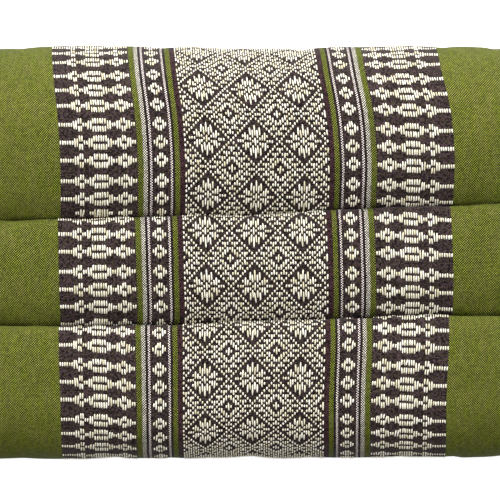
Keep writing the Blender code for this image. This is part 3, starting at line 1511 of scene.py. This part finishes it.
FIELD_QUARTER = (
    ".xxx.x...xx",
    "x...x.xx..x",
    ".x.xxx.xx..",
    "..x...x.xx.",
    "...x.xxx.xx",
    "x...x...x..",
    "x.x..x.xxx.",
    "xxx...x...x",
    "xxx.x..x.xx",
    ".x.xxx..x..",
    "x.xxx....x.",
    "xx...xxx..x",
)
WIDE_MOTIF = "DDDDDDTTSSDDTTSSSSSSTTDDTTSSTTDD"
FLOWER_MOTIF = "DTSSTD"
SMALLER = str.maketrans("STD", "TDN")  # each column of a motif that is a row smaller all round


class Float(Enum):
    """How a column of a motif is stitched, as (middle, rows) pairs counted from the motif's axis."""

    N = ()
    D = ((0.0, 1.3),)
    T = ((0.0, 3.2),)
    S = ((-1.6, 2.0), (1.6, 2.0))


@dataclass(frozen=True)
class Stitches:
    """The places of one piece's floats on the cloth."""

    u: np.ndarray
    row: np.ndarray  # each float's middle
    rows: np.ndarray  # how many weft rows it passes over
    width: float  # in mm
    overrun: float  # how much longer a float is than its rows, in mm


@dataclass
class WovenPattern:
    """The charts, laid out on the cloth."""

    layout: ClothLayout
    column_pitch: float = 0.860
    field_columns: int = 60
    field_start: int = -9  # the field's first column, counted from a flower's axis
    field_repeat: int = 20
    row_repeat: int = 22
    flower_axis_row: int = 11
    motif_rows: tuple[int, ...] = (6, 13, 20)
    small_motif: tuple[int, int] = (-2, -3)  # the axis that has the one smaller motif, and where it lies
    wide_band: Pair = (70.3, 42.8)  # its outer and inner edge
    flower_band: Pair = (36.75, 31.58)
    field_thread: Pair = (0.57, 0.10)  # width and overrun
    band_thread: Pair = (0.58, 0.28)

    def all_rows(self) -> range:
        """The weft rows right round the pillow."""
        first, last = self.layout.channel_rows[0], self.layout.channel_rows[-1]
        return range(math.ceil(first) + 1, math.floor(last) - 1)

    def field_cell(self, column: int, row: int) -> bool:
        """Whether the field's thread shows.

        Args:
            column: The column, counted from a flower's axis.
            row: The weft row.

        Returns:
            True where it floats over the ground.
        """
        half, tall = self.field_repeat // 2, self.flower_axis_row
        across = abs((column + half) % self.field_repeat - half)
        down = abs((row + tall) % self.row_repeat - tall)
        return FIELD_QUARTER[down][across] == "x"

    def field(self, rows: Sequence[int]) -> Stitches:
        """The field's floats, neighbours in a column joined into one.

        Args:
            rows: The run of weft rows to fill.

        Returns:
            The floats.
        """
        found: list[tuple[float, float, float]] = []
        for k in range(self.field_columns):
            u = (k - (self.field_columns - 1) / 2) * self.column_pitch
            length = 0
            for row in list(rows) + [rows[-1] + 1]:
                if row <= rows[-1] and self.field_cell(self.field_start + k, row):
                    length += 1
                elif length:
                    found.append((u, row - (length + 1) / 2, length))
                    length = 0
        return Stitches(*np.array(found).T, *self.field_thread)

    def band(self, motif: str, start: float, end: float) -> Stitches:
        """A band's floats, its motif repeated down the cloth.

        Args:
            motif: A Float's name for each column.
            start: u of the motif's first edge.
            end: u of its last edge.

        Returns:
            The floats.
        """
        places = start + (np.arange(len(motif)) + 0.5) / len(motif) * (end - start)
        found = []
        regular, small = self.small_motif
        for axis in (row for row in self.all_rows() if row % self.row_repeat in self.motif_rows):
            names, axis = (motif.translate(SMALLER), small) if axis == regular else (motif, axis)
            for u, name in zip(places, names):
                found += [(u, axis + middle, rows) for middle, rows in Float[name].value]
        return Stitches(*np.array(found).T, *self.band_thread)


@dataclass
class PatternThreads:
    """The pattern's floats as short padded threads that lie on the cloth."""

    surface: ClothSurface
    pattern: WovenPattern
    finish: ThreadFinish
    height: float = 0.42
    sunk: float = 0.06  # how far a thread's edge is under the cloth's face
    spreads: tuple[float, ...] = (0.05, 0.03, 0.10)  # of a float's width, length and height
    stray: float = 0.035
    lean: float = 0.05
    tone: float = 0.6
    tone_spread: float = 0.30
    yarn_length: float = 50.0  # over which the floats' places on their yarn differ
    seed: int = 3
    lowest: float = 0.02
    template: bpy.types.Object = field(init=False)

    def __post_init__(self) -> None:
        """Model one float, which all the others are copied from."""
        self.template = flat_sheet("float_template", 4, 3)
        across, along = np.abs(get_points(self.template.data)[:, :2] * MM).T
        on_axis, at_rim = 0.1, 0.9
        with editing(self.template, across < at_rim):
            bpy.ops.transform.translate(value=(0.0, 0.0, 0.8))
        with editing(self.template, across < on_axis):
            bpy.ops.transform.translate(value=(0.0, 0.0, 0.2))
        with editing(self.template, (across > on_axis) & (across < at_rim)):
            bpy.ops.transform.resize(value=(1.2, 1.0, 1.0))
        with editing(self.template, along > at_rim):
            bpy.ops.transform.resize(value=(0.7, 1.0, 0.15), center_override=(0.0, 0.0, 0.0))
        with editing(self.template, (along > on_axis) & (along < at_rim)):
            bpy.ops.transform.resize(value=(1.0, 1.9, 1.0))

    def lay(self, name: str, stitches: Stitches) -> None:
        """Make one piece of threads.

        Args:
            name: The piece's name.
            stitches: Where its floats lie.
        """
        draw = np.random.default_rng([self.seed, len(stitches.u)])
        one = get_points(self.template.data) * MM
        count, size = len(stitches.u), len(one)
        pitch = self.surface.layout.row_pitch
        wide, long, tall = (draw.normal(1.0, spread, (count, 1)) for spread in self.spreads)
        strays = (self.lean, self.stray, self.stray)
        lean, aside, ahead = (draw.normal(0.0, stray, (count, 1)) for stray in strays)
        along = one[None, :, 1] * ((stitches.rows[:, None] * pitch + stitches.overrun) / 2 * long)
        across = one[None, :, 0] * (stitches.width / 2 * wide) + lean * along
        u = stitches.u[:, None] + aside + across
        row = stitches.row[:, None] + (ahead + along) / pitch
        points = self.surface.lifted(u, row, one[None, :, 2] * (self.height * tall) - self.sunk)
        points[..., 2] = np.maximum(points[..., 2], self.lowest)
        corners = np.array([list(polygon.vertices) for polygon in self.template.data.polygons])[:, ::-1]
        faces = corners[None] + np.arange(count)[:, None, None] * size
        mesh = bpy.data.meshes.new(name)
        mesh.from_pydata(points.reshape(-1, 3) * MM, [], faces.reshape(-1, 4))
        threads = bpy.data.objects.new(name, mesh)
        bpy.context.scene.collection.objects.link(threads)
        tone = np.clip(draw.normal(self.tone, self.tone_spread, (count, 1)), 0, 1)
        mesh.attributes.new(TONE, "FLOAT", "POINT").data.foreach_set("value", np.repeat(tone, size))
        shift = draw.uniform(0, self.yarn_length, (count, 1))
        places = np.stack([np.broadcast_to(one[:, 0] / 2, along.shape), along + shift], axis=2)
        write_map(threads, THREAD_MAP, places)
        settle(threads, self.finish.material())

    def build(self) -> None:
        """Make all the threads' pieces."""
        rows = list(self.pattern.all_rows())
        behind = rows.index(round(self.surface.layout.channel_rows[3]))
        self.lay("field_threads_front", self.pattern.field(rows[:behind]))
        self.lay("field_threads_back", self.pattern.field(rows[behind:]))
        wide = (WIDE_MOTIF, *self.pattern.wide_band)
        flower = (FLOWER_MOTIF, *self.pattern.flower_band)
        for side in Side:
            for kind, (motif, outer, inner) in (("wide_band", wide), ("flower", flower)):
                stitches = self.pattern.band(motif, side.value * outer, side.value * inner)
                self.lay(f"{kind}_threads_{side.name.lower()}", stitches)
        bpy.data.objects.remove(self.template, do_unlink=True)


# The studio


class Join(Enum):
    """How a fade changes the light that is there without it."""

    DIM = "MULTIPLY"
    AT_LEAST = "MAXIMUM"


@dataclass(frozen=True)
class Fade:
    """A change of the room's light with one coordinate of the direction that it comes from."""

    axis: str
    start: float
    end: float
    at_start: float
    at_end: float
    join: Join = Join.DIM

    def limits(self) -> dict[str, float]:
        """What a Map Range node is set to."""
        return {"From Min": self.start, "From Max": self.end, "To Min": self.at_start, "To Max": self.at_end}


@dataclass
class Studio:
    """The floor, the lights and the camera over the pillow's face."""

    floor_finish: FloorFinish
    floor_half: float = 4000.0
    camera_place: tuple[float, float, float] = (-2.1, 0.6, 1200.0)
    lens: float = 222.4
    sight: float = 20000.0
    box_place: tuple[float, float, float] = (0.0, 281.0, 405.0)
    box_size: Pair = (1100.0, 554.0)
    box_lean: float = 75.5  # degrees between straight down and the way that the box shines
    box_power: float = 5.8
    fades: tuple[Fade, ...] = (
        Fade("Y", -1.0, -0.76, 0.18, 0.79),  # less light from beyond the pillow's lower edge
        Fade("Z", -0.25, 0.0, 0.25, 1.0),  # and from below
        Fade("Y", 0.55, 1.0, 0.0, 2.4, Join.AT_LEAST),  # more from beyond its upper edge
    )

    def floor(self) -> None:
        """Lay the floor."""
        floor = flat_sheet("floor", 8, 8)
        with editing(floor, np.ones(len(floor.data.vertices), bool)):
            bpy.ops.transform.resize(value=(self.floor_half * MM,) * 3)
        floor.data.materials.append(self.floor_finish.material())
        floor.visible_diffuse = False
        floor.visible_glossy = False

    def lights(self) -> None:
        """Stand a soft box beyond the pillow's upper edge, in a white room."""
        data = bpy.data.lights.new("soft box", "AREA")
        data.shape = "RECTANGLE"
        data.size, data.size_y = (side * MM for side in self.box_size)
        data.energy = self.box_power
        box = self.stand(data, self.box_place)
        box.rotation_euler = (-math.radians(self.box_lean), 0.0, 0.0)
        box.visible_camera = False
        world = bpy.data.worlds.new("white room")
        nodes = Nodes(world)
        way = nodes.node("ShaderNodeTexCoord", output="Generated")
        way = nodes.node("ShaderNodeSeparateXYZ", inputs={0: way})
        strength: Wire | float = 1.0
        for fade in self.fades:
            here = nodes.node("ShaderNodeMapRange", inputs=fade.limits() | {"Value": way.beside(fade.axis)})
            strength = nodes.maths(fade.join.value, strength, here)
        nodes.feed(nodes.tree.nodes["Background"], {"Color": (1.0, 1.0, 1.0, 1.0), "Strength": strength})
        bpy.context.scene.world = world

    def camera(self) -> None:
        """Set the camera square over the face."""
        data = bpy.data.cameras.new("camera")
        data.lens = self.lens
        data.dof.use_dof = False
        data.clip_end = self.sight * MM
        bpy.context.scene.camera = self.stand(data, self.camera_place)

    def stand(self, data: bpy.types.Light | bpy.types.Camera, place: Sequence[float]) -> bpy.types.Object:
        """Put a light or a camera in its place.

        Args:
            data: The light or the camera.
            place: Where it stands, in mm.

        Returns:
            Its object.
        """
        thing = bpy.data.objects.new(data.name, data)
        thing.location = Vector(place) * MM
        bpy.context.scene.collection.objects.link(thing)
        return thing

    def build(self) -> None:
        """Set up the whole studio."""
        self.floor()
        self.lights()
        self.camera()
        bpy.context.scene.view_settings.view_transform = "Standard"
        LOG.info("studio ready")


def seam_from_frame() -> float:
    """Where the end seams lie, from the sleeve's own end in the frame."""
    low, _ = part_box("end_panel_right")
    return low[0] / MM - EndPanel.clearance


def main() -> None:
    """Build every piece around the frame."""
    logging.basicConfig(level=logging.INFO, format="%(name)s: %(message)s")
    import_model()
    low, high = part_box("pillow_body")
    form = PillowForm(seam_x=seam_from_frame(), thickness=(high[2] - low[2]) / MM)
    LOG.info("seam at %.2f mm, thickness %.2f mm", form.seam_x, form.thickness)
    layout = ClothLayout(form)
    Studio(FloorFinish()).build()
    surface = Sleeve(layout, SleeveFinish()).build()
    EndPanel("end_panel_left", Side.LEFT, surface, PanelFinish()).build()
    EndPanel("end_panel_right", Side.RIGHT, surface, PanelFinish()).build()
    PatternThreads(surface, WovenPattern(layout), ThreadFinish()).build()


if __name__ == "__main__":
    main()
